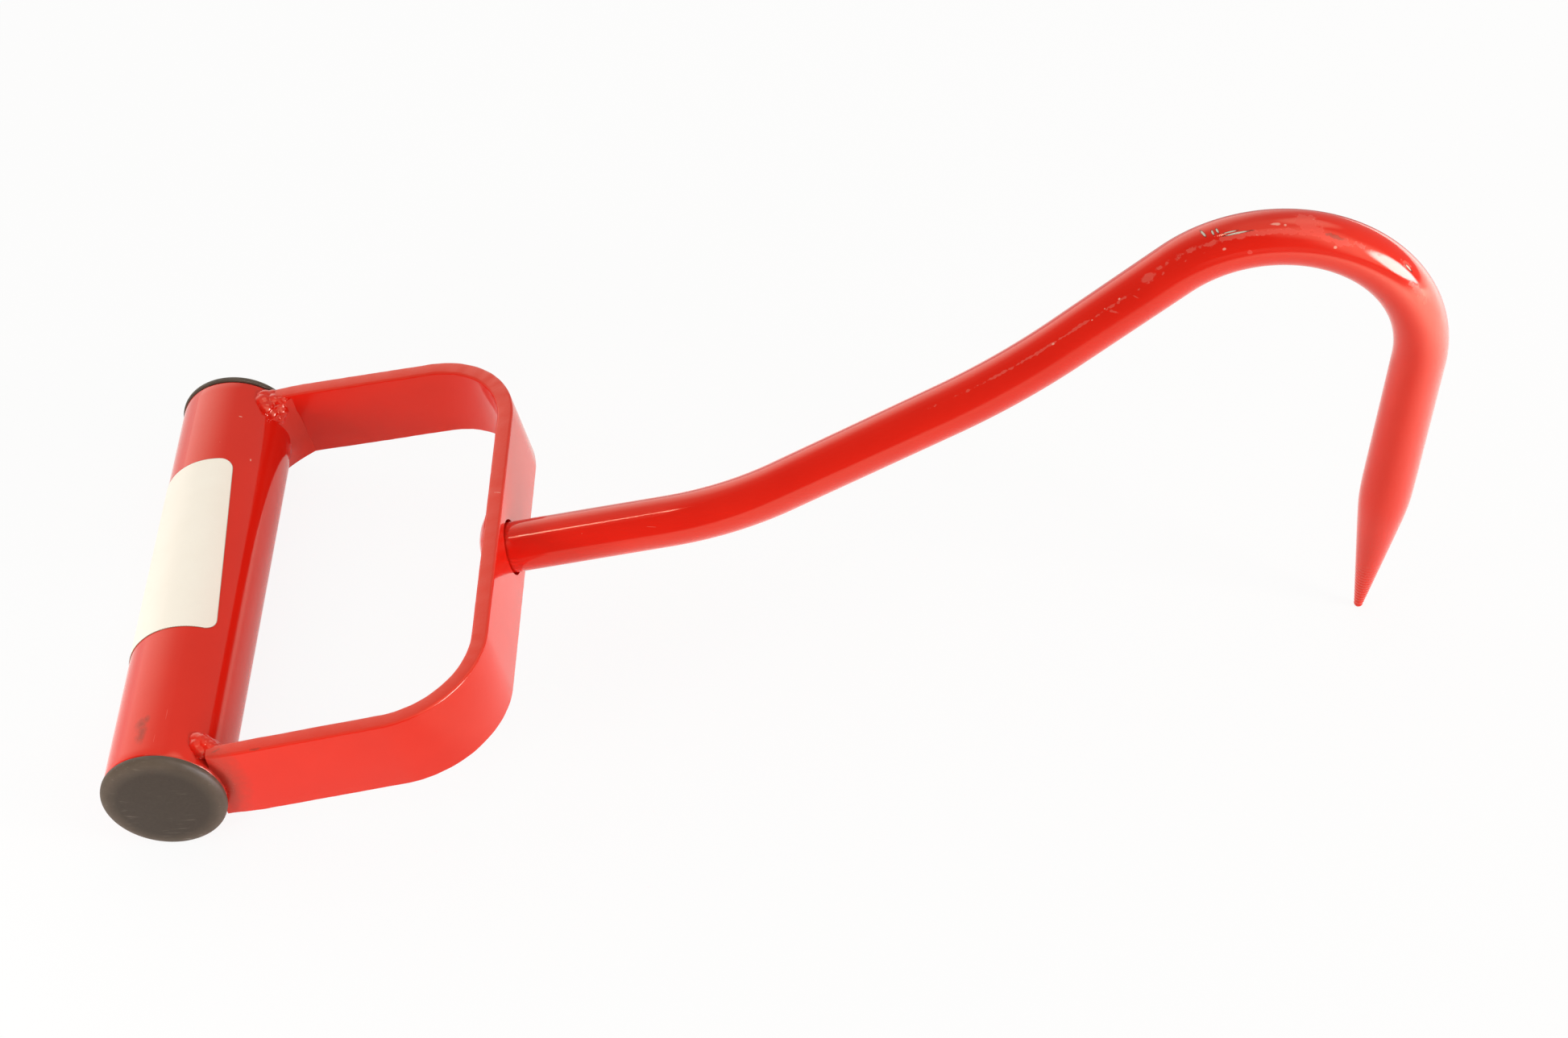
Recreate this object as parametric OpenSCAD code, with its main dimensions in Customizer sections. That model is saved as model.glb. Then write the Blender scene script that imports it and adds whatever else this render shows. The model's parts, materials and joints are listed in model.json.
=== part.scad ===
// Hay hook: a tube grip with rubber end plugs, a flat-bar bow welded to it,
// and a round-bar hook held in the bow by a weld inside it.
// Each piece is drawn in the tool's own plane: the grip's axis is Y, the hook's
// shank runs along X, and the hook bends in the XZ plane. rest_pose() then lays
// the tool on the ground, on both plugs and the hook's point. Millimetres, degrees.

/* [Grip] */
// Outside diameter of the grip tube
grip_d = 25.4; // [22:0.1:30]
// Wall thickness of the grip tube
grip_wall = 2; // [1.2:0.1:3]
// Length of the grip tube
grip_len = 112.5; // [100:0.5:130]

/* [Bow] */
// Width of the flat bar
bar_w = 18; // [14:0.5:20]
// Thickness of the flat bar
bar_t = 3.6; // [3:0.1:5]
// Distance from the grip's axis to the bow's outer face
bow_reach = 70.1; // [62:0.1:90]
// Outside radius of the bow's two corners
corner_r = 22; // [14:0.5:28]
// Angle at which each leg spreads toward the grip
leg_splay = 2; // [0:0.1:4]
// Distance of each leg's outer face from the end of the grip tube
leg_inset = 0.4; // [0.2:0.1:3]
// Depth to which each leg's end is ground to fit the grip tube
leg_cope = 0.7; // [0.3:0.1:2]
// How far the bow's middle sits below the grip's axis
bow_drop = 0.3; // [0:0.1:1]

/* [Hook] */
// Diameter of the hook's round bar
rod_d = 11; // [9:0.1:12]
// Clearance around the bar in the bow's hole
hole_gap = 0.4; // [0.3:0.1:1]
// Length of the bar's end that stands out inside the bow
root_out = 1.5; // [0.5:0.1:2]
// Straight length of the shank in front of the bow
shank_len = 34.3; // [20:0.1:60]
// Centreline radius of the first bend
rise_r = 78; // [60:1:110]
// Angle of the first bend, upward
rise_turn = 19.5; // [10:0.5:26]
// Straight length after the first bend
rise_len = 40.2; // [25:0.1:60]
// Centreline radius of the second bend
sweep_r = 165; // [120:1:220]
// Angle of the second bend, upward
sweep_turn = 10.4; // [4:0.1:16]
// Straight length after the second bend
sweep_len = 27.9; // [15:0.1:45]
// Centreline radius of the crook
crook_r = 29.8; // [24:0.1:40]
// Angle of the crook, downward
crook_turn = 136.4; // [125:0.1:145]
// Straight length after the crook
drop_len = 39; // [30:0.5:55]
// Length of the tapered point
point_len = 31.4; // [20:0.1:45]
// Diameter of the blunt tip
tip_d = 2; // [1.5:0.1:4]

/* [End plugs] */
// How far each plug's rim stands out past the tube's side
plug_lip = 0.3; // [0.2:0.1:1]
// Height of the plug's straight rim
plug_rim_h = 1; // [0.8:0.1:3]
// Radius of the rim's rounded edge
plug_edge_r = 1.2; // [0.8:0.1:3]
// Height of the dome on the plug's face
plug_dome_h = 0.4; // [0.3:0.1:1.5]
// Length of the stem inside the tube
stem_len = 14; // [10:0.5:20]
// Depth of the grooves between the stem's ribs
rib_depth = 1.2; // [0.6:0.1:2]
// Clearance between the ribs and the tube's bore
plug_fit = 0.1; // [0.05:0.01:0.3]
// Wall thickness of the hollow stem
stem_wall = 2.5; // [1.5:0.1:4]

/* [Label] */
// Thickness of the paper label
label_t = 0.15; // [0.1:0.01:0.3]
// Length of the label along the grip
label_len = 51; // [35:0.5:60]
// Width of the label around the grip
label_w = 31; // [20:0.5:36]
// Distance of the label's middle from the grip's middle, toward the left
label_shift = 4.5; // [0:0.5:10]
// Angle of the label's front edge above the bow's plane
label_start = 52; // [48:1:70]
// Radius of the label's corners
label_corner_r = 3; // [1.5:0.1:5]

/* [Welds] */
// How far the fillet weld reaches along the leg, past the grip
fillet_toe = 2.2; // [1.5:0.1:4]
// Slope of the fillet weld's face from the leg
fillet_slope = 45; // [40:1:50]
// How far the fillet weld runs past the leg's lower edge
fillet_drop = 1; // [0:0.1:2]
// How far the fillet weld stops short of the leg's upper edge
fillet_short = 0.6; // [0.3:0.1:1.5]
// Radius of the tack weld's larger lump
tack_r = 3; // [2.5:0.1:3.5]
// Radius of the root weld's base
root_weld_r = 8.5; // [7.5:0.1:9.5]
// Height of the root weld's dome
root_weld_h = 3; // [2.6:0.1:4.5]
// Depth to which the root weld fills the hole
root_weld_fill = 1; // [0.5:0.1:1.5]

/* [Hidden] */
$fn = 96;
// Sides of the large circle that a shallow dome is cut from
dome_sides = 720;
// Room that a cutting shape has past the face it cuts
cut = 1;
// How far a straight stretch of bar runs on over the bend beside it
lap = 0.4;
// How much each side of a bar draws in along a bend
draw_down = 0.02;

grip_r = grip_d / 2;
bore_r = grip_r - grip_wall;
rod_r = rod_d / 2;
tip_r = tip_d / 2;
plug_r = grip_r + plug_lip;
plug_h = plug_rim_h + plug_edge_r + plug_dome_h;

// The leg's outer face at the grip, the corner's centre and the leg's straight length
leg_y = grip_len / 2 - leg_inset;
leg_end_x = grip_r - leg_cope;
corner_x = bow_reach - corner_r;
corner_y = leg_y - (corner_r + (corner_x - grip_r) * sin(leg_splay)) / cos(leg_splay);
leg_len = (corner_x - grip_r) * cos(leg_splay) + (leg_y - corner_y) * sin(leg_splay);
bow_inside_x = bow_reach - bar_t;
bar_bottom = -bow_drop - bar_w / 2;
bar_top = bar_bottom + bar_w;
hole_r = rod_r + hole_gap;

// The fillet weld's toe on the leg's inner face
toe_x = grip_r + fillet_toe;
toe_y = leg_y - bar_t / cos(leg_splay) - fillet_toe * tan(leg_splay);

// Headings of the hook's straight stretches and the joints between its stretches, as [x, z]
rise_heading = rise_turn;
sweep_heading = rise_heading + sweep_turn;
drop_heading = sweep_heading - crook_turn;
function ahead(heading) = [cos(heading), sin(heading)];
function left_of(heading) = [-sin(heading), cos(heading)];
rise_start = [bow_reach + shank_len, 0];
rise_end = rise_start + rise_r * (left_of(0) - left_of(rise_heading));
sweep_start = rise_end + rise_len * ahead(rise_heading);
sweep_end = sweep_start + sweep_r * (left_of(rise_heading) - left_of(sweep_heading));
crook_start = sweep_end + sweep_len * ahead(sweep_heading);
crook_centre = crook_start - crook_r * left_of(sweep_heading);
crook_end = crook_centre + crook_r * left_of(drop_heading);
tip = crook_end + (drop_len + point_len) * ahead(drop_heading);

// The tilt at which the plugs and the tip all touch the ground
rest_tilt = asin((tip_r - plug_r) / norm(tip)) - atan2(tip[1], tip[0]);
front_x = crook_centre[0] * cos(rest_tilt) - crook_centre[1] * sin(rest_tilt) + crook_r + rod_r;
middle_x = (front_x - plug_r) / 2;

paint = "#d92b20";
rubber = "#4a433c";
paper = "#f3ead9";

// Lays what is drawn in the tool's own plane on the ground, centred over the origin
module rest_pose() {
    translate([-middle_x, 0, plug_r]) rotate([0, -rest_tilt, 0]) children();
}

// Turns an axis drawn along Z to lie along the grip
module along_grip() {
    rotate([-90, 0, 0]) children();
}

// The space that the grip tube fills, drawn longer than the tube
module grip_space() {
    along_grip() cylinder(r = grip_r, h = grip_len + 2 * cut, center = true);
}

// A straight stretch of round bar along X, followed by what comes after it
module run(length) {
    translate([-lap, 0, 0]) rotate([0, 90, 0]) cylinder(r = rod_r, h = length + 2 * lap);
    translate([length, 0, 0]) children();
}

// A bend of round bar that starts along X and turns up, or down for a negative turn
module bend(radius, turn) {
    rotate([turn > 0 ? 0 : 180, 0, 0])
        translate([0, 0, radius])
            rotate([0, 90, 0])
                rotate([90, 0, 0])
                    rotate_extrude(angle = abs(turn))
                        translate([radius, 0])
                            circle(r = rod_r - draw_down);
    translate([radius * sin(abs(turn)), 0, sign(turn) * radius * (1 - cos(turn))])
        rotate([0, -turn, 0])
            children();
}

// The ground taper and the blunt tip, along X
module point() {
    translate([lap, 0, 0]) rotate([0, 90, 0]) cylinder(r1 = rod_r, r2 = tip_r, h = point_len - lap);
    translate([point_len, 0, 0]) sphere(r = tip_r);
}

// The corner and the leg on the left side
module bow_side() {
    translate([corner_x, corner_y, bar_bottom]) {
        rotate_extrude(angle = 90 - leg_splay)
            translate([corner_r - bar_t + draw_down, 0])
                square([bar_t - 2 * draw_down, bar_w]);
        rotate([0, 0, 90 - leg_splay])
            translate([corner_r - bar_t, -lap, 0])
                cube([bar_t, lap + leg_len + grip_r, bar_w]);
    }
}

// The bent bar before the hook's hole is drilled
module bow_bar() {
    difference() {
        union() {
            bow_side();
            mirror([0, 1, 0]) bow_side();
            translate([bow_inside_x, -corner_y - lap, bar_bottom])
                cube([bar_t, 2 * (corner_y + lap), bar_w]);
        }
        translate([leg_end_x - 2 * grip_r, -grip_len, -bar_w])
            cube([2 * grip_r, 2 * grip_len, 2 * bar_w]);
        grip_space();
    }
}

// The wedge of weld between the left leg's inner face and the grip
module fillet_run() {
    reach = grip_r;
    translate([0, 0, bar_bottom - fillet_drop])
        linear_extrude(height = fillet_drop + bar_w - fillet_short)
            polygon([[toe_x, toe_y],
                     [toe_x - reach, toe_y - reach * tan(fillet_slope)],
                     [toe_x - reach, toe_y + reach * tan(leg_splay) + cut],
                     [toe_x, toe_y + cut]]);
}

// The two lumps of weld over the left leg's top edge
module tack_run() {
    for (lump = [[0.8, 1], [1.5, 0.9]])
        translate([leg_end_x - tack_r / 3, leg_y - bar_t * lump[0], bar_top - tack_r / 4])
            sphere(r = tack_r * lump[1]);
}

// The profile of a plug: stem below the base line, head above it, axis at zero
module plug_profile() {
    face_r = plug_r - plug_edge_r;
    dome_r = (face_r * face_r + plug_dome_h * plug_dome_h) / (2 * plug_dome_h);
    rib_r = bore_r - plug_fit;
    rib_h = stem_len / 7;
    square([plug_r, plug_rim_h]);
    square([face_r, plug_rim_h + plug_edge_r]);
    translate([face_r, plug_rim_h]) circle(r = plug_edge_r);
    intersection() {
        translate([0, plug_h - dome_r]) circle(r = dome_r, $fn = dome_sides);
        translate([0, plug_rim_h]) square([face_r, plug_h]);
    }
    difference() {
        union() {
            translate([0, -stem_len]) square([rib_r - rib_depth, stem_len]);
            for (rib = [1, 3, 5])
                translate([0, -(rib + 1) * rib_h]) square([rib_r, rib_h]);
        }
        translate([0, -stem_len - cut]) square([rib_r - rib_depth - stem_wall, stem_len - stem_wall + cut]);
    }
}

// One plug in the left end of the grip
module plug() {
    translate([0, grip_len / 2, 0]) along_grip() rotate_extrude() plug_profile();
}

module grip_tube() {
    color(paint) rest_pose() along_grip() difference() {
        cylinder(r = grip_r, h = grip_len, center = true);
        cylinder(r = bore_r, h = grip_len + 2 * cut, center = true);
    }
}

module bow() {
    color(paint) rest_pose() difference() {
        bow_bar();
        translate([bow_inside_x - cut, 0, 0]) rotate([0, 90, 0]) cylinder(r = hole_r, h = bar_t + 2 * cut);
    }
}

module hook() {
    color(paint) rest_pose()
        translate([bow_inside_x - root_out + lap, 0, 0])
            run(root_out - lap + bar_t + shank_len)
            bend(rise_r, rise_turn)
            run(rise_len)
            bend(sweep_r, sweep_turn)
            run(sweep_len)
            bend(crook_r, -crook_turn)
            run(drop_len)
            point();
}

module left_plug() {
    color(rubber) rest_pose() plug();
}

module right_plug() {
    color(rubber) rest_pose() mirror([0, 1, 0]) plug();
}

module label() {
    sweep = label_w / grip_r * 180 / PI;
    half = label_len / 2;
    color(paper) rest_pose() translate([0, label_shift, 0]) rotate([90, 0, 0]) difference() {
        rotate([0, 0, label_start])
            rotate_extrude(angle = sweep)
                translate([grip_r, -half])
                    square([label_t, label_len]);
        for (side = [0, 1], end = [-1, 1])
            rotate([0, 0, label_start + side * sweep])
                mirror([0, side, 0])
                    label_corner(end * half, end);
    }
}

// What is cut off one corner of the label, seen along the radius through that corner
module label_corner(corner_z, end) {
    translate([0, 0, corner_z]) rotate([0, 90, 0]) linear_extrude(height = grip_r + label_t + cut) difference() {
        translate([end > 0 ? -cut : -label_corner_r, -cut]) square(label_corner_r + cut);
        translate([end * label_corner_r, label_corner_r]) circle(r = label_corner_r);
    }
}

module left_fillet() {
    difference() {
        fillet_run();
        bow_bar();
        grip_space();
    }
}

module left_tack() {
    difference() {
        tack_run();
        bow_bar();
        grip_space();
        fillet_run();
    }
}

module left_fillet_weld() {
    color(paint) rest_pose() left_fillet();
}

module right_fillet_weld() {
    color(paint) rest_pose() mirror([0, 1, 0]) left_fillet();
}

module left_tack_weld() {
    color(paint) rest_pose() left_tack();
}

module right_tack_weld() {
    color(paint) rest_pose() mirror([0, 1, 0]) left_tack();
}

module root_weld() {
    dome_r = (root_weld_r * root_weld_r + root_weld_h * root_weld_h) / (2 * root_weld_h);
    color(paint) rest_pose() translate([bow_inside_x, 0, 0]) rotate([0, 90, 0]) difference() {
        union() {
            cylinder(r = hole_r, h = root_weld_fill);
            intersection() {
                translate([0, 0, dome_r - root_weld_h]) sphere(r = dome_r);
                translate([0, 0, -root_weld_h - cut]) cylinder(r = dome_r, h = root_weld_h + cut);
            }
        }
        translate([0, 0, -root_out]) cylinder(r = rod_r, h = root_out + bar_t);
    }
}

grip_tube();
bow();
hook();
left_plug();
right_plug();
label();
left_fillet_weld();
right_fillet_weld();
left_tack_weld();
right_tack_weld();
root_weld();
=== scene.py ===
"""Looks for a hay hook: enamelled steel, rubber end plugs and a bare paper label.

Every piece is drawn in the tool's own plane, in millimetres: the grip's axis is Y,
the hook's shank runs along X and the hook bends in the XZ plane. RestPose then
carries the finished mesh to the frame that the CAD model is packed in.
"""

import json
import logging
import math
from dataclasses import dataclass
from enum import Enum
from functools import partial
from typing import Any, Sequence

import bmesh
import bpy
from mathutils import Matrix, Vector, noise

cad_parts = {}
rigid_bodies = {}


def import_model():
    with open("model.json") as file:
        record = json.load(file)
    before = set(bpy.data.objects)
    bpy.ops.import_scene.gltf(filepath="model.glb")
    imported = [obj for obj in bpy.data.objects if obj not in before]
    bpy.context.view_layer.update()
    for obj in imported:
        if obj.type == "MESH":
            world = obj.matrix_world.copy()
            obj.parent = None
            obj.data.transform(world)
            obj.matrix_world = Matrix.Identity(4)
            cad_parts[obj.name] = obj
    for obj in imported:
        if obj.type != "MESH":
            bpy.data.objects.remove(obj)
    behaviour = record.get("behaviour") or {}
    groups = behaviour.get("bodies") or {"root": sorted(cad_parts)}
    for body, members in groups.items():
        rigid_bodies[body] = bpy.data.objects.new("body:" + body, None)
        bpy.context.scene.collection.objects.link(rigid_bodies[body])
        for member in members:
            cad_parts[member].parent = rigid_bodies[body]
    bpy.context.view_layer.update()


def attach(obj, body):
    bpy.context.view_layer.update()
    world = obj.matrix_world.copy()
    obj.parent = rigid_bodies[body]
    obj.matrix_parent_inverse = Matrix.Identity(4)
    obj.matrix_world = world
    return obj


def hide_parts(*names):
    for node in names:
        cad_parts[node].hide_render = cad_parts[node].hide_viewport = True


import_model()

BODY = "root"
MM = 0.001
MERGE_MM = 1e-4
QUARTER = math.pi / 2
WARM_WHITE = "#FFFBF4"
WHITE = (1.0, 1.0, 1.0, 1.0)
log = logging.getLogger("hay_hook")

Point = tuple[float, float, float]
Profile = list[tuple[float, float]]
Four = tuple[float, float, float, float]
Tree = bpy.types.NodeTree
Socket = bpy.types.NodeSocket
Shape = bmesh.types.BMesh
Piece = bpy.types.Object


class Slot(Enum):
    """The record's material slots."""

    PAINT = "red_paint"
    RUBBER = "plug_rubber"
    PAPER = "label_paper"


class Side(Enum):
    """The two ends of the grip, as the sign of their Y."""

    LEFT = 1
    RIGHT = -1

    @property
    def word(self) -> str:
        """The side's word in the names of pieces."""
        return self.name.lower()

    def mirror(self, shape: Shape) -> Shape:
        """Carries a shape drawn for the left end to this end."""
        bmesh.ops.scale(shape, vec=(1, self.value, 1), verts=shape.verts)
        return shape


class Wear(Enum):
    """The kinds of mark that use has left, and painted shade."""

    CHIP = "bare steel with a dark lip of broken paint"
    SCUFF = "paint rubbed dull and pale"
    DAB = "a pale fleck or a scratch"
    # This kind also paints shade: the dark band beside the right plug's rim is painted shade.
    SMUDGE = "a dark greasy spot"


class Chart(Enum):
    """What a mark is placed on."""

    TOOL = "the tool's own plane"
    BAR = "the hook's bar as it was before it was bent"


def linear(hex_colour: str) -> Four:
    """Turns an sRGB hex colour into linear RGBA.

    Args:
        hex_colour: six hex digits with a leading hash.

    Returns:
        Linear red, green and blue, and an alpha of 1.
    """
    parts = [int(hex_colour[i:i + 2], 16) / 255 for i in (1, 3, 5)]
    red, green, blue = [
        p / 12.92 if p <= 0.04045 else ((p + 0.055) / 1.055) ** 2.4 for p in parts
    ]
    return red, green, blue, 1.0


def per_mm(size: float) -> float:
    """The texture scale at which a pattern repeats every size millimetres."""
    return 1.0 / (size * MM)


def toward(azimuth: float, elevation: float) -> Vector:
    """Turns two angles into a direction.

    Args:
        azimuth: degrees from +Y towards +X.
        elevation: degrees above the floor.

    Returns:
        The direction, one long.
    """
    turn, rise = math.radians(azimuth), math.radians(elevation)
    flat = math.cos(rise)
    return Vector((math.sin(turn) * flat, math.cos(turn) * flat, math.sin(rise)))


def add_node(tree: Tree, kind: str, inputs: dict[Any, Any] | None = None,
             out: int | str = 0, **settings: Any) -> Socket | None:
    """Adds one node with its settings, values and links.

    Args:
        tree: the tree that gets the node.
        kind: the node's Blender type, without the ShaderNode or GeometryNode in front.
        inputs: a value or an output socket for each input, by name or number.
        out: the wanted output, by name or number.
        settings: properties of the node itself.

    Returns:
        The wanted output, or None where the node has no outputs.
    """
    prefix = "" if kind.startswith("NodeGroup") else tree.bl_idname.removesuffix("Tree")
    node = tree.nodes.new(prefix + kind)
    for name, value in settings.items():
        setattr(node, name, value)
    for key, value in (inputs or {}).items():
        if isinstance(value, Socket):
            tree.links.new(value, node.inputs[key])
        else:
            node.inputs[key].default_value = value
    return node.outputs[out] if len(node.outputs) else None


def layered(tree: Tree, base: str, layers: Sequence[tuple[Socket, float, str]]) -> Socket:
    """Lays colours over a base colour.

    Args:
        tree: the material's tree.
        base: the base colour in hex.
        layers: each layer's mask, how fully it covers, and its colour in hex.

    Returns:
        The colour that shows.
    """
    colour: Any = linear(base)
    for mask, share, over in layers:
        thin = add_node(tree, "Math", {0: mask, 1: share}, operation="MULTIPLY")
        paints = {"Factor": thin, 6: colour, 7: linear(over)}
        colour = add_node(tree, "Mix", paints, 2, data_type="RGBA")
    return colour


def add_object(name: str, data: bpy.types.ID) -> Piece:
    """Adds an object to the scene.

    Args:
        name: the object's name.
        data: its mesh, camera or light.

    Returns:
        The new object.
    """
    obj = bpy.data.objects.new(name, data)
    bpy.context.scene.collection.objects.link(obj)
    return obj


def draft(name: str, shape: Shape) -> Piece:
    """Makes an object from a bmesh.

    Args:
        name: the object's name.
        shape: the shape, which is freed.

    Returns:
        The new object.
    """
    mesh = bpy.data.meshes.new(name)
    shape.to_mesh(mesh)
    shape.free()
    return add_object(name, mesh)


def draft_path(name: str, points: Sequence[Point], radii: Sequence[float]) -> Piece:
    """Makes a chain of points for Geometry Nodes, with a bar_radius on each.

    Args:
        name: the object's name.
        points: the points in order.
        radii: the radius at each point.

    Returns:
        The new object.
    """
    mesh = bpy.data.meshes.new(name)
    mesh.from_pydata(points, [(i, i + 1) for i in range(len(points) - 1)], [])
    mesh.attributes.new("bar_radius", "FLOAT", "POINT").data.foreach_set("value", radii)
    return add_object(name, mesh)


def bake(obj: Piece) -> None:
    """Turns an object's live modifiers into its own plain mesh.

    Args:
        obj: the object.
    """
    bpy.context.view_layer.update()
    graph = bpy.context.evaluated_depsgraph_get()
    mesh = bpy.data.meshes.new_from_object(obj.evaluated_get(graph), depsgraph=graph)
    obj.modifiers.clear()
    old, obj.data = obj.data, mesh
    bpy.data.meshes.remove(old)


def carve(obj: Piece, cutters: Sequence[Piece]) -> None:
    """Cuts other shapes out of an object and deletes them.

    Args:
        obj: the object to cut.
        cutters: what is cut out of it.
    """
    for cutter in cutters:
        cut = obj.modifiers.new(cutter.name, "BOOLEAN")
        cut.object = cutter
        cut.operation = "DIFFERENCE"
        cut.solver = "EXACT"
    bake(obj)
    for cutter in cutters:
        bpy.data.objects.remove(cutter)


def skin(shape: Shape, rows: Sequence[Sequence[bmesh.types.BMVert]], closed: bool) -> None:
    """Joins rows of points with faces.

    Args:
        shape: the shape that gets the faces.
        rows: the rows, all of one length apart from rows of a single point.
        closed: whether each row runs back to its first point.
    """
    for low, high in zip(rows, rows[1:]):
        count = max(len(low), len(high))
        for i in range(count if closed else count - 1):
            j = (i + 1) % count
            ends = (low[i % len(low)], low[j % len(low)], high[j % len(high)], high[i % len(high)])
            corners = list(dict.fromkeys(ends))
            if len(corners) > 2:
                shape.faces.new(corners)


def lathe(profile: Profile, sides: int) -> Shape:
    """Spins a profile about the Y axis.

    Args:
        profile: radius and height along Y, from one end to the other.
        sides: sides of the round.

    Returns:
        The spun shape, with a single point where the radius is zero.
    """
    shape = bmesh.new()
    turns = [2 * math.pi * i / sides for i in range(sides)]
    rings = [
        [shape.verts.new((radius * math.cos(t), height, radius * math.sin(t)))
         for t in (turns if radius > 0 else turns[:1])]
        for radius, height in profile
    ]
    skin(shape, rings, closed=True)
    bmesh.ops.recalc_face_normals(shape, faces=shape.faces)
    return shape


def arc(centre: tuple[float, float], radius: float, start: float, end: float,
        steps: int) -> Profile:
    """Points on an arc.

    Args:
        centre: the arc's centre.
        radius: its radius.
        start: the first angle in degrees.
        end: the last angle in degrees.
        steps: the number of stretches.

    Returns:
        The points from start to end.
    """
    angles = [math.radians(start + (end - start) * i / steps) for i in range(steps + 1)]
    return [(centre[0] + radius * math.cos(a), centre[1] + radius * math.sin(a)) for a in angles]


@dataclass(frozen=True)
class RestPose:
    """How the tool lies on the ground, on both plugs and the hook's point."""

    tilt: float
    middle_x: float
    lift: float

    def matrix(self) -> Matrix:
        """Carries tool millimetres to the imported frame's metres."""
        turn = Matrix.Rotation(-self.tilt, 4, "Y")
        return Matrix.Scale(MM, 4) @ Matrix.Translation((-self.middle_x, 0, self.lift)) @ turn


@dataclass(frozen=True)
class Mark:
    """One mark of use, or a patch of painted shade: an ellipse with a ragged edge, in millimetres.
    """

    wear: Wear
    chart: Chart
    at: Point
    ahead: Point
    out: Point
    half: tuple[float, float]
    ragged: float = 0.6
    soft: float = 0.12
    depth: float = 1.2

    def turn(self) -> Point:
        """How the ellipse is turned.

        Returns:
            An XYZ Euler angle.
        """
        ahead, out = Vector(self.ahead).normalized(), Vector(self.out).normalized()
        side = out.cross(ahead).normalized()
        return tuple(Matrix((side.cross(out), side, out)).transposed().to_euler("XYZ"))

    def mask(self, tree: Tree, place: Socket, edge: Socket) -> Socket:
        """Draws the mark as a mask.

        Args:
            tree: the material's tree.
            place: the chart's coordinates in millimetres.
            edge: noise about zero that makes the outline ragged.

        Returns:
            The mask, 1 inside the mark.
        """
        node = partial(add_node, tree)
        local = node("Mapping", {
            "Vector": place, "Location": self.at, "Rotation": self.turn(),
            "Scale": (*self.half, self.depth),
        }, vector_type="TEXTURE")
        far = node("VectorMath", {0: local}, "Value", operation="LENGTH")
        torn = node("Math", {0: edge, 1: self.ragged, 2: far}, operation="MULTIPLY_ADD")
        return node("MapRange", {
            "Value": torn, "From Min": 1 + self.soft, "From Max": 1 - self.soft,
        })


class Finish:
    """A surface finish, which makes its own material."""

    name: str

    def make(self) -> bpy.types.Material:
        """Builds the material.

        Returns:
            The material.
        """
        material = bpy.data.materials.new(self.name)
        material.use_nodes = True
        tree = material.node_tree
        tree.nodes.clear()
        add_node(tree, "OutputMaterial", {"Surface": self.shader(tree)})
        return material

    def shader(self, tree: Tree) -> Socket:
        """Builds the surface, in each finish's own way."""
        raise NotImplementedError


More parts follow.
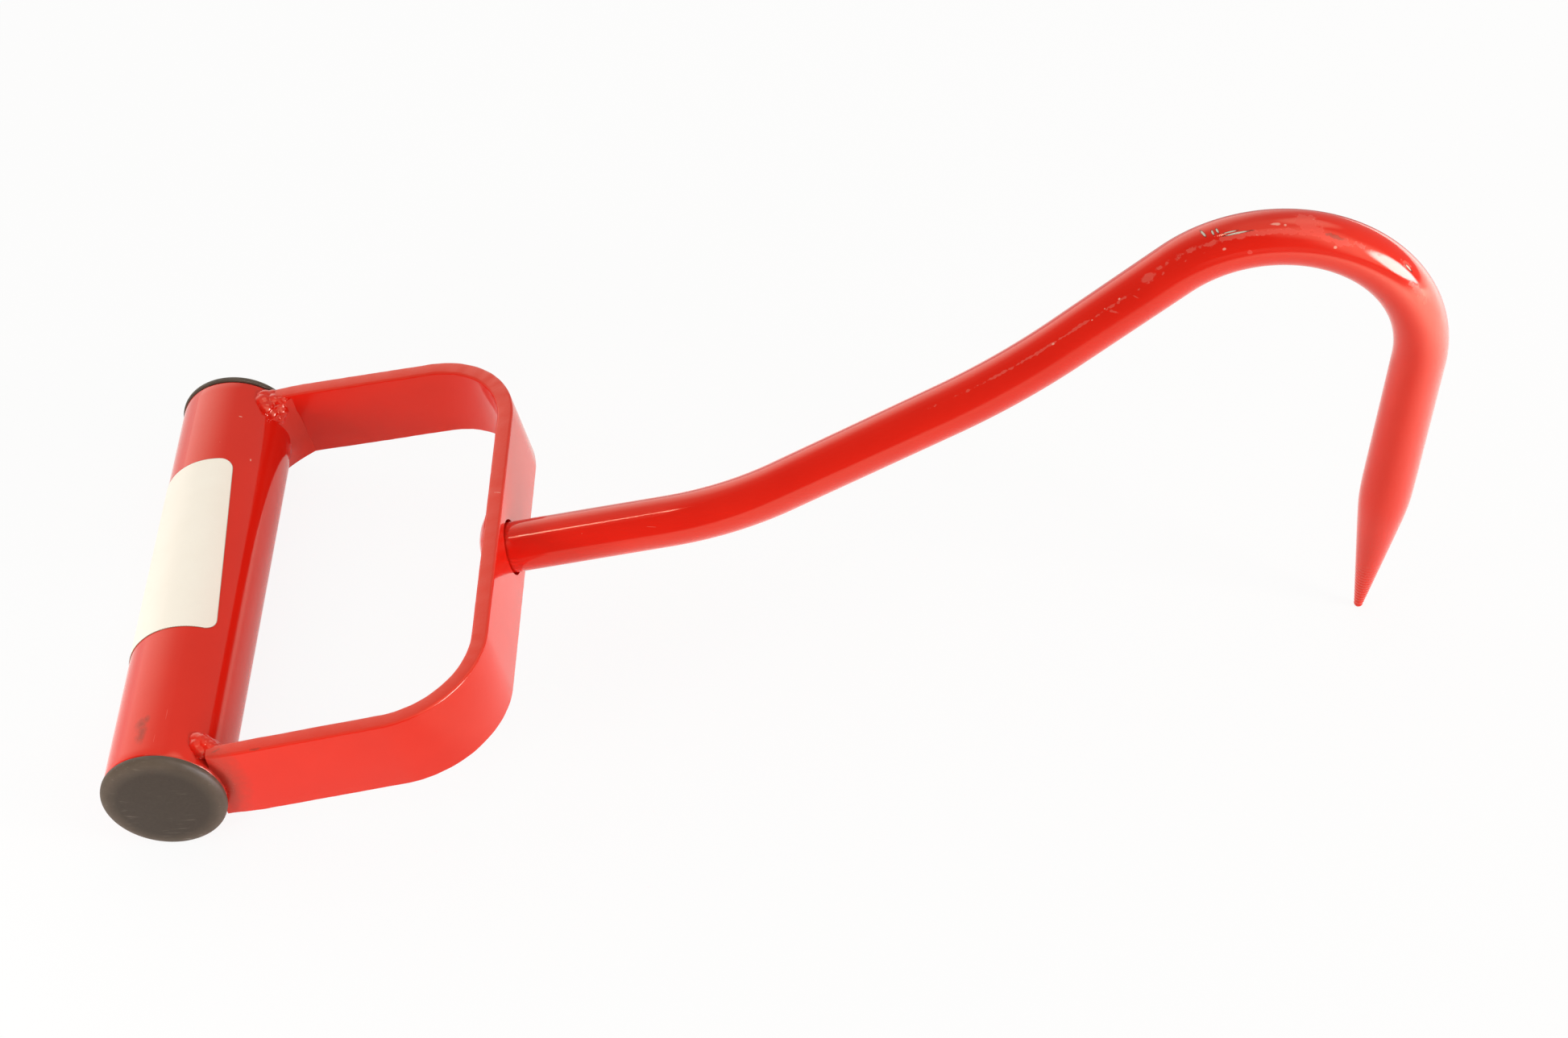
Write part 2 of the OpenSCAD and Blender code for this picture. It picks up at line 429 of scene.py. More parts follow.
@dataclass(frozen=True)
class Enamel(Finish):
    """Alkyd enamel sprayed on mild steel.

    A glossy saturated red whose film has a slight orange peel, so that reflections
    stay clear but waver. The sheared edges of the flat bar stay a little dull under
    it. Use has rubbed it pale along the crook and knocked it off in small chips,
    where bare grey steel shows.
    """

    pose: RestPose
    marks: tuple[Mark, ...]
    name: str = "gloss_red_enamel"
    deep: str = "#D51B0F"
    fresh: str = "#E12214"
    dull: str = "#E98478"
    steel: str = "#CFC9BB"
    lip: str = "#6A1410"
    fleck: str = "#F3C7B4"
    # Dark grease colour, also used for the painted shade beside the right plug's rim.
    grease: str = "#4C3A32"
    edge_tone: str = "#D8402F"
    # A warm tint on the paint's reflections: painted warmth standing in for the colour of the
    # light they mirror.
    tint: str = "#FFEACB"
    roughness: float = 0.1
    worn_roughness: float = 0.36
    edge_roughness: float = 0.3
    ior: float = 1.5
    peel_mm: float = 2.2
    peel_bump: float = 0.06
    tone_mm: float = 14.0
    ragged_mm: float = 1.3
    ragged_from: tuple[float, float] = (0.25, 0.75)
    lip_from: tuple[float, float] = (0.02, 0.3)
    bare_from: tuple[float, float] = (0.45, 0.75)
    speck_mm: float = 5.5
    speck_share: float = 0.022
    shear_mm: float = 0.7
    shear_bump: float = 0.35
    relief_mm: float = 0.1

    def shader(self, tree: Tree) -> Socket:
        """Builds the film with its wear.

        Args:
            tree: the material's tree.

        Returns:
            The surface.
        """
        node = partial(add_node, tree)
        charts = self.charts(tree)
        tool = charts[Chart.TOOL]
        tone = node("TexNoise", {"Vector": tool, "Scale": 1 / self.tone_mm, "Detail": 3.0})
        sheared = node("Attribute", out="Fac", attribute_name="sheared")
        masks = self.worn(tree, charts)
        chip = masks[Wear.CHIP]
        lip, bare = (
            node("MapRange", {"Value": chip, "From Min": low, "From Max": high})
            for low, high in (self.lip_from, self.bare_from)
        )
        colour = layered(tree, self.deep, (
            (tone, 1.0, self.fresh),
            (sheared, 0.3, self.edge_tone),
            (masks[Wear.SCUFF], 0.2, self.dull),
            (self.specks(tree, tool), 0.35, self.fleck),
            # Dark grease spots, and painted shade in the corner beside the right plug's rim.
            (masks[Wear.SMUDGE], 0.5, self.grease),
            (masks[Wear.DAB], 0.5, self.fleck),
            (lip, 0.8, self.lip),
            (bare, 0.95, self.steel),
        ))
        shine: Any = self.roughness
        for mask, dull in (
            (sheared, self.edge_roughness),
            (masks[Wear.SCUFF], self.worn_roughness),
            (masks[Wear.SMUDGE], self.worn_roughness),
            (chip, self.worn_roughness),
        ):
            shine = node("MapRange", {"Value": mask, "To Min": shine, "To Max": dull})
        return node("BsdfPrincipled", {
            "Base Color": colour, "Roughness": shine, "IOR": self.ior,
            # painted warmth in the reflections, standing in for the light's colour
            "Specular Tint": linear(self.tint), "Normal": self.film(tree, tool, sheared),
        })

    def charts(self, tree: Tree) -> dict[Chart, Socket]:
        """Coordinates in millimetres in the tool's plane and along the bar.

        Args:
            tree: the material's tree.

        Returns:
            The coordinates of each chart.
        """
        place, turn, scale = self.pose.matrix().inverted().decompose()
        tool = add_node(tree, "Mapping", {
            "Vector": add_node(tree, "TexCoord", out="Object"), "Location": place,
            "Rotation": turn.to_euler("XYZ"), "Scale": scale,
        }, vector_type="POINT")
        bar = add_node(tree, "Attribute", out="Vector", attribute_name="bar_place")
        return {Chart.TOOL: tool, Chart.BAR: bar}

    def worn(self, tree: Tree, charts: dict[Chart, Socket]) -> dict[Wear, Socket]:
        """Gathers the marks of each kind, all with ragged outlines.

        Args:
            tree: the material's tree.
            charts: the coordinates of each chart.

        Returns:
            A mask for each kind of wear.
        """
        rough = {"Vector": charts[Chart.TOOL], "Scale": 1 / self.ragged_mm, "Detail": 4.0}
        low, high = self.ragged_from
        edge = add_node(tree, "MapRange", {
            "Value": add_node(tree, "TexNoise", rough), "From Min": low, "From Max": high,
            "To Min": -1.0, "To Max": 1.0,
        })
        masks: dict[Wear, Socket] = {}
        for mark in self.marks:
            mask = mark.mask(tree, charts[mark.chart], edge)
            if mark.wear in masks:
                both = {0: masks[mark.wear], 1: mask}
                mask = add_node(tree, "Math", both, operation="MAXIMUM")
            masks[mark.wear] = mask
        return masks

    def specks(self, tree: Tree, tool: Socket) -> Socket:
        """Sparse dust specks, drawn a little larger than life so that they show.

        Args:
            tree: the material's tree.
            tool: the tool's coordinates.

        Returns:
            The specks' mask.
        """
        cells = {"Vector": tool, "Scale": 1 / self.speck_mm}
        far = add_node(tree, "TexVoronoi", cells, feature="F1")
        size = add_node(tree, "SeparateColor", {"Color": far.node.outputs["Color"]})
        reach = add_node(tree, "Math", {0: size, 1: self.speck_share}, operation="MULTIPLY")
        return add_node(tree, "Math", {0: far, 1: reach}, operation="LESS_THAN")

    def film(self, tree: Tree, tool: Socket, sheared: Socket) -> Socket:
        """The film's relief: orange peel, and grain on sheared edges.

        Args:
            tree: the material's tree.
            tool: the tool's coordinates.
            sheared: the mask of the sheared edges.

        Returns:
            The normal.
        """
        node = partial(add_node, tree)
        deep = self.relief_mm * MM
        peel = node("TexNoise", {"Vector": tool, "Scale": 1 / self.peel_mm, "Detail": 1.0})
        grain = node("TexNoise", {"Vector": tool, "Scale": 1 / self.shear_mm, "Detail": 3.0})
        soft = node("Bump", {"Height": peel, "Strength": self.peel_bump, "Distance": deep})
        torn = node("Math", {0: sheared, 1: self.shear_bump}, operation="MULTIPLY")
        return node("Bump", {
            "Height": grain, "Strength": torn, "Distance": deep, "Normal": soft,
        })


@dataclass(frozen=True)
class MouldedRubber(Finish):
    """Moulded rubber.

    Dark warm grey and matt, with dust in fine scratches. Its shoulder is paler:
    partly rubbing, partly a painted sheen.
    """

    name: str = "moulded_rubber"
    dark: str = "#2E251D"
    pale: str = "#3E332A"
    # The shoulder's paler colour: partly rubbing, partly a painted sheen.
    rubbed: str = "#625448"
    dust: str = "#8C8074"
    roughness: float = 0.55
    ior: float = 1.4
    grain_mm: float = 0.5
    grain_bump: float = 0.2
    relief_mm: float = 0.05
    cloud_mm: float = 6.0
    dust_from: tuple[float, float] = (0.45, 0.65)
    scratch_mm: float = 0.35
    scratch_stretch: float = 0.06
    scratch_from: tuple[float, float] = (0.7, 0.8)
    scratch_share: float = 0.5
    # Each way the scratches run: its lean in degrees, and a shift of its pattern.
    scratches: tuple[tuple[float, float], ...] = ((25.0, 0.0), (-40.0, 0.02), (80.0, 0.05))

    def shader(self, tree: Tree) -> Socket:
        """Builds the rubber.

        Args:
            tree: the material's tree.

        Returns:
            The surface.
        """
        node = partial(add_node, tree)
        place = node("TexCoord", out="Object")
        grain, cloud = (
            node("TexNoise", {"Vector": place, "Scale": per_mm(size), "Detail": detail})
            for size, detail in ((self.grain_mm, 4.0), (self.cloud_mm, 3.0))
        )
        # The shoulder mask, for a paler ring that is partly rubbing and partly painted sheen.
        edge = node("Attribute", out="Fac", attribute_name="rubbed_and_sheen_edge")
        worn = node("Math", {0: edge, 1: cloud}, operation="MULTIPLY")
        low, high = self.dust_from
        dusty = node("MapRange", {"Value": cloud, "From Min": low, "From Max": high})
        layers = [(grain, 1.0, self.pale), (worn, 1.0, self.rubbed)]
        low, high = self.scratch_from
        for lean, shift in self.scratches:
            turned = node("Mapping", {
                "Vector": place, "Location": (shift, 0.0, shift),
                "Rotation": (0.0, math.radians(lean), 0.0),
                "Scale": (self.scratch_stretch, 1.0, 1.0),
            }, vector_type="POINT")
            fine = {"Vector": turned, "Scale": per_mm(self.scratch_mm), "Detail": 1.0}
            line = node("MapRange", {
                "Value": node("TexNoise", fine), "From Min": low, "From Max": high,
                "To Max": self.scratch_share,
            })
            both = node("Math", {0: line, 1: dusty}, operation="MULTIPLY")
            layers.append((both, 1.0, self.dust))
        bump = node("Bump", {
            "Height": grain, "Strength": self.grain_bump, "Distance": self.relief_mm * MM,
        })
        return node("BsdfPrincipled", {
            "Base Color": layered(tree, self.dark, layers), "Roughness": self.roughness,
            "IOR": self.ior, "Normal": bump,
        })


@dataclass(frozen=True)
class LabelPaper(Finish):
    """Coated label paper: smooth warm cream, faintly clouded, with painted shade on its cut edge.
    """

    name: str = "coated_label_paper"
    clean: str = "#FDF8EE"
    soiled: str = "#F7F0E4"
    # Painted shade along the label's cut edge.
    edge: str = "#8E7A68"
    roughness: float = 0.5
    ior: float = 1.5
    cloud_mm: float = 9.0

    def shader(self, tree: Tree) -> Socket:
        """Builds the paper.

        Args:
            tree: the material's tree.

        Returns:
            The surface.
        """
        place = add_node(tree, "TexCoord", out="Object")
        soft = {"Vector": place, "Scale": per_mm(self.cloud_mm), "Detail": 4.0}
        cloud = add_node(tree, "TexNoise", soft)
        cut = add_node(tree, "Attribute", out="Fac", attribute_name="cut_edge")
        return add_node(tree, "BsdfPrincipled", {
            "Base Color": layered(tree, self.clean, (
                # the cut edge darkened with painted shade
                (cloud, 1.0, self.soiled), (cut, 1.0, self.edge),
            )),
            "Roughness": self.roughness, "IOR": self.ior,
        })


@dataclass(frozen=True)
class FloorPaper(Finish):
    """White background paper.

    Matt, and shown near white to the camera with the shadow kept. To the gloss it
    glows with painted light: a slope adds a painted level, up or down, between two
    distances, in metres, along an azimuth, and dusk paints dimness past its own.
    """

    name: str = "white_paper_floor"
    grey: str = "#F2F2F2"
    camera_share: float = 0.9
    mirror_share: float = 0.25
    level: float = 1.25
    dim: float = 0.12
    # Painted dimness in the gloss past this distance.
    dusk: Point = (-165.0, 0.12, 0.22)
    # Painted glow in the gloss: a sheen towards the window, and brighter and darker stretches.
    slopes: tuple[Four, ...] = (
        (108.0, 0.1, 0.3, 4.4), (-40.0, 0.12, 0.5, 0.6), (40.0, 0.11, 0.22, -0.7),
        (90.0, -0.055, -0.03, 0.5), (90.0, 0.0, 0.06, -0.5),
    )

    def slope(self, tree: Tree, span: Sequence[float], start: float, end: float) -> Socket:
        """A level that changes smoothly along the floor.

        Args:
            tree: the material's tree.
            span: the azimuth, and the distances at which it starts and ends.
            start: the level before it.
            end: the level past it.

        Returns:
            The level.
        """
        azimuth, near, far = span
        spot = {0: add_node(tree, "TexCoord", out="Object"), 1: toward(azimuth, 0.0)}
        return add_node(tree, "MapRange", {
            "Value": add_node(tree, "VectorMath", spot, "Value", operation="DOT_PRODUCT"),
            "From Min": near, "From Max": far, "To Min": start, "To Max": end,
        }, interpolation_type="SMOOTHSTEP")

    def shader(self, tree: Tree) -> Socket:
        """Builds the paper.

        Args:
            tree: the material's tree.

        Returns:
            The surface.
        """
        node = partial(add_node, tree)
        path = node("LightPath").node.outputs
        glossy = path["Is Glossy Ray"]
        lit: Any = self.level
        # Painted light, seen only in the gloss.
        for *span, more in self.slopes:
            lit = node("Math", {0: lit, 1: self.slope(tree, span, 0.0, more)})
        dusk = self.slope(tree, self.dusk, 1.0, self.dim)
        level = node("Math", {0: dusk, 1: lit}, operation="MULTIPLY")
        shown = node("Mix", {"Factor": glossy, 2: 1.0, 3: level}, data_type="FLOAT")
        grey = {0: linear(self.grey)[:3], "Scale": shown}
        matt = node("BsdfDiffuse", {"Color": node("VectorMath", grey, operation="SCALE")})
        white = node("Emission", {"Strength": shown})
        both = {0: glossy, 1: path["Is Transmission Ray"]}
        mirrored = node("Math", both, operation="MAXIMUM")
        thin = node("Math", {0: mirrored, 1: self.mirror_share}, operation="MULTIPLY")
        share = node("Math", {
            0: path["Is Camera Ray"], 1: self.camera_share, 2: thin,
        }, operation="MULTIPLY_ADD")
        return node("MixShader", {"Fac": share, 1: matt, 2: white})


class Workshop:
    """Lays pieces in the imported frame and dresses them."""

    def __init__(self, pose: RestPose, marks: Sequence[Mark]) -> None:
        """Makes the materials.

        Args:
            pose: how the tool lies.
            marks: the marks of use, and of painted shade, in the paint.
        """
        self.pose = pose
        self.materials = {
            Slot.PAINT: Enamel(pose, tuple(marks)).make(),
            Slot.RUBBER: MouldedRubber().make(),
            Slot.PAPER: LabelPaper().make(),
        }

    def finish(self, obj: Piece, slot: Slot, *nodes: str, sharp: float = 40.0) -> None:
        """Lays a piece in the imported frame, dresses it and ties it to the CAD.

        Args:
            obj: the piece, in tool millimetres.
            slot: its material slot.
            nodes: the CAD nodes that it stands for.
            sharp: the angle, in degrees, past which an edge is shaded sharp.
        """
        mesh = obj.data
        shape = bmesh.new()
        shape.from_mesh(mesh)
        bmesh.ops.remove_doubles(shape, verts=shape.verts, dist=MERGE_MM)
        bmesh.ops.recalc_face_normals(shape, faces=shape.faces)
        shape.to_mesh(mesh)
        shape.free()
        mesh.transform(self.pose.matrix())
        mesh.materials.clear()
        mesh.materials.append(self.materials[slot])
        count = len(mesh.polygons)
        mesh.polygons.foreach_set("use_smooth", [True] * count)
        mesh.polygons.foreach_set("material_index", [0] * count)
        mesh.set_sharp_from_angle(angle=math.radians(sharp))
        mesh.update()
        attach(obj, BODY)
        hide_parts(*nodes)
        log.info("%s: %d faces", obj.name, count)


class NodeShape:
    """A Geometry Nodes tree with named inputs, run once on an object."""

    def __init__(self, name: str, numbers: dict[str, float]) -> None:
        """Starts a tree with a geometry, named numbers and a material as its inputs.

        Args:
            name: the tree's name.
            numbers: each number's name and default.
        """
        self.tree = bpy.data.node_groups.new(name, "GeometryNodeTree")
        self.ids: dict[str, str] = {}
        kinds = {label: type(value).__name__.title() for label, value in numbers.items()}
        for label, kind in {"Geometry": "Geometry", **kinds, "Material": "Material"}.items():
            socket = self.tree.interface.new_socket(
                label, in_out="INPUT", socket_type=f"NodeSocket{kind}",
            )
            if label in numbers:
                socket.default_value = numbers[label]
            self.ids[label] = socket.identifier
        self.tree.interface.new_socket(
            "Geometry", in_out="OUTPUT", socket_type="NodeSocketGeometry",
        )
        self.node = partial(add_node, self.tree)
        self.given = self.node("NodeGroupInput").node.outputs

    def close(self, geometry: Socket) -> None:
        """Ends the tree in Realize Instances and Set Material.

        Args:
            geometry: the finished geometry.
        """
        real = self.node("RealizeInstances", {"Geometry": geometry})
        dressed = self.node("SetMaterial", {"Geometry": real, "Material": self.given["Material"]})
        self.node("NodeGroupOutput", {"Geometry": dressed})

    def run(self, obj: Piece, values: dict[str, Any]) -> None:
        """Runs the tree on an object and keeps the result as its plain mesh.

        Args:
            obj: the object.
            values: a value for each named input that isn't at its default.
        """
        modifier = obj.modifiers.new(self.tree.name, "NODES")
        modifier.node_group = self.tree
        for label, value in values.items():
            modifier[self.ids[label]] = value
        bake(obj)


class RoundBar(NodeShape):
    """A round bar that follows a path, as thick as bar_radius says."""

    def __init__(self) -> None:
        """Builds the tree."""
        super().__init__("round_bar_along_path", {"Sides": 64})
        node, given = self.node, self.given
        named = {"Name": "bar_radius"}
        ring = node("CurvePrimitiveCircle", {"Resolution": given["Sides"], "Radius": 1.0})
        self.close(node("CurveToMesh", {
            "Curve": node("MeshToCurve", {"Mesh": given["Geometry"]}), "Profile Curve": ring,
            "Scale": node("InputNamedAttribute", named, "Attribute", data_type="FLOAT"),
            "Fill Caps": True,
        }))


class FlatBar(NodeShape):
    """A flat bar with rounded edges that follows a path in the XY plane."""

    def __init__(self) -> None:
        """Builds the tree."""
        super().__init__("flat_bar_along_path", {
            "Width": 18.0, "Thickness": 3.6, "Edge radius": 0.6, "Edge steps": 5,
        })
        node, given = self.node, self.given
        path = node("MeshToCurve", {"Mesh": given["Geometry"]})
        upright = node("SetCurveNormal", {"Curve": path}, mode="Z_UP")
        section = node("CurvePrimitiveQuadrilateral", {
            "Width": given["Thickness"], "Height": given["Width"],
        })
        eased = node("FilletCurve", {
            "Curve": section, "Radius": given["Edge radius"], "Count": given["Edge steps"],
        }, mode="POLY")
        self.close(node("CurveToMesh", {
            "Curve": upright, "Profile Curve": eased, "Scale": 1.0, "Fill Caps": True,
        }))


class WeldBead(NodeShape):
    """Drops of weld metal that have run together into one lump."""

    def __init__(self) -> None:
        """Builds the tree."""
        super().__init__("weld_drops_run_together", {
            "Voxel": 0.16, "Threshold": 0.1, "Ease": 6,
        })
        node, given = self.node, self.given
        named = {"Name": "bar_radius"}
        radius = node("InputNamedAttribute", named, "Attribute", data_type="FLOAT")
        drops = node("MeshToPoints", {"Mesh": given["Geometry"], "Radius": radius})
        cloud = node("PointsToVolume", {
            "Points": drops, "Voxel Size": given["Voxel"], "Radius": radius,
        }, resolution_mode="VOXEL_SIZE")
        lump = {"Volume": cloud, "Threshold": given["Threshold"]}
        surface = node("VolumeToMesh", lump, resolution_mode="GRID")
        blurred = {"Value": node("InputPosition"), "Iterations": given["Ease"]}
        even = node("BlurAttribute", blurred, "Value", data_type="FLOAT_VECTOR")
        self.close(node("SetPosition", {"Geometry": surface, "Position": even}))


@dataclass
class Grip:
    """The tube that the hand holds, its end plugs and its label."""

    radius: float = 12.7
    wall: float = 2.0
    length: float = 112.5
    rim_r: float = 0.6
    rim_steps: int = 4
    tube_rows: int = 60
    tube_sides: int = 160
    plug_lip: float = 0.3
    plug_rim_h: float = 0.7
    plug_edge_r: float = 2.6
    plug_edge_h: float = 1.5
    plug_edge_turn: float = 80.0
    plug_dome_h: float = 0.4
    plug_back_r: float = 0.35
    plug_shave: float = 0.003
    plug_steps: int = 14
    plug_sides: int = 128
    # How far in the shoulder's paler ring reaches: partly rubbing, partly painted sheen.
    plug_rub: float = 0.45
    stem_len: float = 14.0
    stem_parts: int = 7
    ribs: tuple[int, ...] = (5, 3, 1)
    rib_depth: float = 1.2
    plug_fit: float = 0.1
    stem_wall: float = 2.5
    label_t: float = 0.15
    label_len: float = 51.0
    label_w: float = 31.0
    label_shift: float = 4.5
    label_start: float = 52.0
    label_corner: float = 3.0
    label_lean: float = 3.9
    label_rim: float = 0.18
    label_wave: float = 0.25
    label_wave_rate: float = 0.12
    label_wave_row: float = 3.7
    label_steps: tuple[int, int, int] = (8, 40, 46)
    # Each mark: how far round from the front in degrees, how far along the tube, its half
    # length along and half width round it, and how ragged and how soft its outline is.
    wear: tuple[tuple[Wear, float, float, float, float, float, float], ...] = (
        (Wear.SMUDGE, 97.0, -47.1, 1.3, 0.9, 0.5, 0.8),
        (Wear.SMUDGE, 92.5, -46.0, 0.8, 0.6, 0.5, 0.8),
        (Wear.SMUDGE, 95.0, -49.8, 1.7, 0.8, 0.6, 0.9),
        (Wear.DAB, 61.5, 44.9, 0.16, 0.4, 0.6, 0.12),
        (Wear.DAB, 43.3, 32.5, 0.35, 0.2, 0.6, 0.12),
        (Wear.SCUFF, 74.0, -45.0, 1.8, 0.06, 0.3, 0.12),
        (Wear.SCUFF, 81.0, -51.5, 1.2, 0.05, 0.3, 0.12),
    )

    @property
    def plug_r(self) -> float:
        """Radius of a plug's rim."""
        return self.radius + self.plug_lip

    def build(self, shop: Workshop) -> None:
        """Makes the tube, both plugs and the label.

        Args:
            shop: the workshop that finishes them.
        """
        shop.finish(draft("grip", self.tube()), Slot.PAINT, "grip_tube")
        for side in Side:
            plug = draft(f"{side.word}_end_plug", side.mirror(self.plug()))
            shop.finish(plug, Slot.RUBBER, f"{side.word}_plug")
        shop.finish(draft("bare_label", self.label()), Slot.PAPER, "label")

    def marks(self) -> list[Mark]:
        """The smudges and the nicks on the tube.

        Returns:
            The marks.
        """
        found = []
        for wear, around, y, length, width, ragged, soft in self.wear:
            out = (math.cos(math.radians(around)), 0.0, math.sin(math.radians(around)))
            at = (self.radius * out[0], y, self.radius * out[2])
            half = (length, width)
            found.append(Mark(wear, Chart.TOOL, at, (0.0, 1.0, 0.0), out, half, ragged, soft))
        return found

    def tube(self) -> Shape:
        """The tube with eased rims.

        Returns:
            The tube.
        """
        half, rim, bore = self.length / 2, self.rim_r, self.radius - self.wall
        outer = arc((self.radius - rim, half - rim), rim, 0, 90, self.rim_steps)
        run, rows = self.length - 2 * rim, self.tube_rows
        profile = [(bore, -half), (self.radius - rim, -half)]
        profile += [(r, -h) for r, h in reversed(outer[:-1])]
        profile += [(self.radius, -half + rim + run * i / rows) for i in range(1, rows)]
        profile += outer + [(bore, half), (bore, -half)]
        return lathe(profile, self.tube_sides)

    def plug(self) -> Shape:
        """A plug with a ribbed hollow stem, in the left end of the grip.

        Returns:
            The plug, with a mask on its shoulder for a paler ring,
            partly rubbing and partly painted sheen.
        """
        rib_r = self.radius - self.wall - self.plug_fit
        root_r = rib_r - self.rib_depth
        hollow_r = root_r - self.stem_wall
        rib_h = self.stem_len / self.stem_parts
        rim_r = self.plug_r - self.plug_shave
        face_r = rim_r - self.plug_edge_r
        back, steps = self.plug_back_r, self.plug_steps
        profile = [(0, -self.stem_wall), (hollow_r, -self.stem_wall)]
        profile += [(hollow_r, -self.stem_len), (root_r, -self.stem_len)]
        for rib in self.ribs:
            low, high = -(rib + 1) * rib_h, -rib * rib_h
            profile += [(root_r, low), (rib_r, low), (rib_r, high), (root_r, high)]
        profile.append((root_r, 0))
        profile += arc((rim_r - back, back), back, -90, 0, self.rim_steps)
        flat = self.plug_edge_h / self.plug_edge_r
        for r, h in arc((face_r, 0), self.plug_edge_r, 0, self.plug_edge_turn, steps):
            profile.append((r, self.plug_rim_h + h * flat))
        top = self.plug_rim_h + self.plug_edge_h + self.plug_dome_h
        edge_r, edge_h = profile[-1]
        for i in range(1, steps):
            share = i / steps
            profile.append((edge_r * (1 - share), top - (top - edge_h) * (1 - share) ** 2))
        profile.append((0, top))
        shape = lathe(profile, self.plug_sides)
        # The shoulder's mask for the paler ring: partly rubbing, partly painted sheen.
        rubbed = shape.verts.layers.float.new("rubbed_and_sheen_edge")
        for vertex in shape.verts:
            reach = (math.hypot(vertex.co.x, vertex.co.z) - face_r) / self.plug_edge_r
            vertex[rubbed] = min(1.0, max(0.0, reach + self.plug_rub))
        bmesh.ops.translate(shape, vec=(0, self.length / 2, 0), verts=shape.verts)
        return shape

    def label(self) -> Shape:
        """The label, a thin sheet with round corners stuck on a little askew.

        Returns:
            The label, with its border as cut_edge.
        """
        shape = bmesh.new()
        cut = shape.verts.layers.float.new("cut_edge")
        half_l, half_w, corner = self.label_len / 2, self.label_w / 2, self.label_corner
        lean = math.radians(self.label_lean)
        bends, rows, columns = self.label_steps
        start, run = half_l - corner, self.label_len - 2 * corner
        bend = [start + corner * math.sin(QUARTER * i / bends) for i in range(1, bends + 1)]
        bend.insert(-1, half_l - self.label_rim)
        lines = [-q for q in reversed(bend)]
        lines += [-half_l + corner + run * i / rows for i in range(rows + 1)] + bend
        rim = self.label_rim / half_w
        shares = [(rim - 1) * (1 - 2 * i / columns) for i in range(columns + 1)]
        middle = math.radians(self.label_start) + half_w / self.radius
        borders = []
        for radius in (self.radius, self.radius + self.label_t):
            grid = []
            for q in lines:
                over = max(0.0, abs(q) - start)
                inset = corner - math.sqrt(max(0.0, corner * corner - over * over))
                row = []
                for share in (-1.0, *shares, 1.0):
                    p = (half_w - inset) * share
                    spot = Vector((p * self.label_wave_rate, self.label_wave_row, 0.0))
                    wave = self.label_wave * noise.noise(spot) if q < 0 else 0.0
                    along = q + wave * abs(q) / half_l
                    s = p * math.cos(lean) + along * math.sin(lean)
                    y = along * math.cos(lean) - p * math.sin(lean) + self.label_shift
                    turn = middle + s / self.radius
                    place = (radius * math.cos(turn), y, radius * math.sin(turn))
                    row.append(shape.verts.new(place))
                grid.append(row)
            skin(shape, grid, closed=False)
            border = [row[0] for row in grid] + grid[-1][1:]
            border += [row[-1] for row in reversed(grid[:-1])] + grid[0][-2:0:-1]
            for vertex in border:
                vertex[cut] = 1.0
            borders.append(border)
        skin(shape, borders, closed=True)
        bmesh.ops.recalc_face_normals(shape, faces=shape.faces)
        return shape


